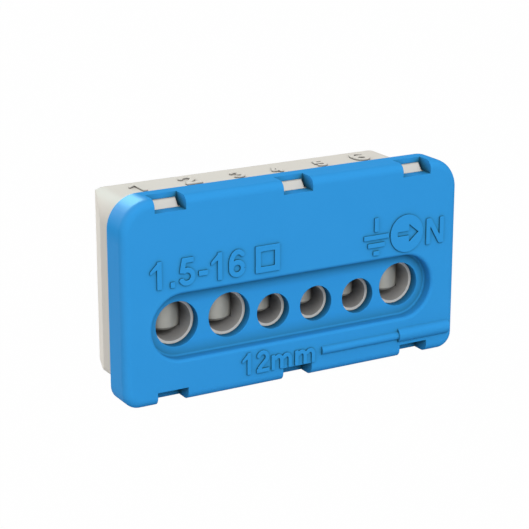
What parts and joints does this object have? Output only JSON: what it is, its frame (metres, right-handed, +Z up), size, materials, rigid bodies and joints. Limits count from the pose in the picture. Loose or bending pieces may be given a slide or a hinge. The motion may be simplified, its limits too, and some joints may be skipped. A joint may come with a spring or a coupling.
{
  "type": "screw terminal block",
  "caption": "Moulded screw terminal block: a clip-on front cover with round wire entries, a rear housing, and a drilled metal bar with clamp screws.",
  "frame": {"origin": "middle of the housing's flat back face", "axes": "+X across the block from the first way to the last, +Y out of the back, +Z up towards the driver holes; the cover's face looks along -Y"},
  "size_m": [0.0496, 0.0158, 0.0268],
  "materials": {
    "cover_plastic": "satin moulded plastic, mid blue",
    "housing_plastic": "matt moulded plastic, warm off-white",
    "plated_brass": "nickel-plated brass, drilled and tapped",
    "plated_steel": "zinc-plated steel"
  },
  "bodies": {
    "block": {"front_cover": "cover_plastic", "rear_housing": "housing_plastic", "terminal_bar": "plated_brass"},
    "screw_1": {"clamp_screw_1": "plated_steel"},
    "screw_2": {"clamp_screw_2": "plated_steel"},
    "screw_3": {"clamp_screw_3": "plated_steel"},
    "screw_4": {"clamp_screw_4": "plated_steel"},
    "screw_5": {"clamp_screw_5": "plated_steel"},
    "screw_6": {"clamp_screw_6": "plated_steel"}
  },
  "joints": [
    {"name": "screw_1_travel", "type": "slide", "parent": "block", "child": "screw_1", "axis": [0, 0, 1], "range_m": [0, 0.00435]},
    {"name": "screw_2_travel", "type": "slide", "parent": "block", "child": "screw_2", "axis": [0, 0, 1], "range_m": [0, 0.00435]},
    {"name": "screw_3_travel", "type": "slide", "parent": "block", "child": "screw_3", "axis": [0, 0, 1], "range_m": [0, 0.00315]},
    {"name": "screw_4_travel", "type": "slide", "parent": "block", "child": "screw_4", "axis": [0, 0, 1], "range_m": [0, 0.00315]},
    {"name": "screw_5_travel", "type": "slide", "parent": "block", "child": "screw_5", "axis": [0, 0, 1], "range_m": [0, 0.00315]},
    {"name": "screw_6_travel", "type": "slide", "parent": "block", "child": "screw_6", "axis": [0, 0, 1], "range_m": [0, 0.00435]}
  ]
}
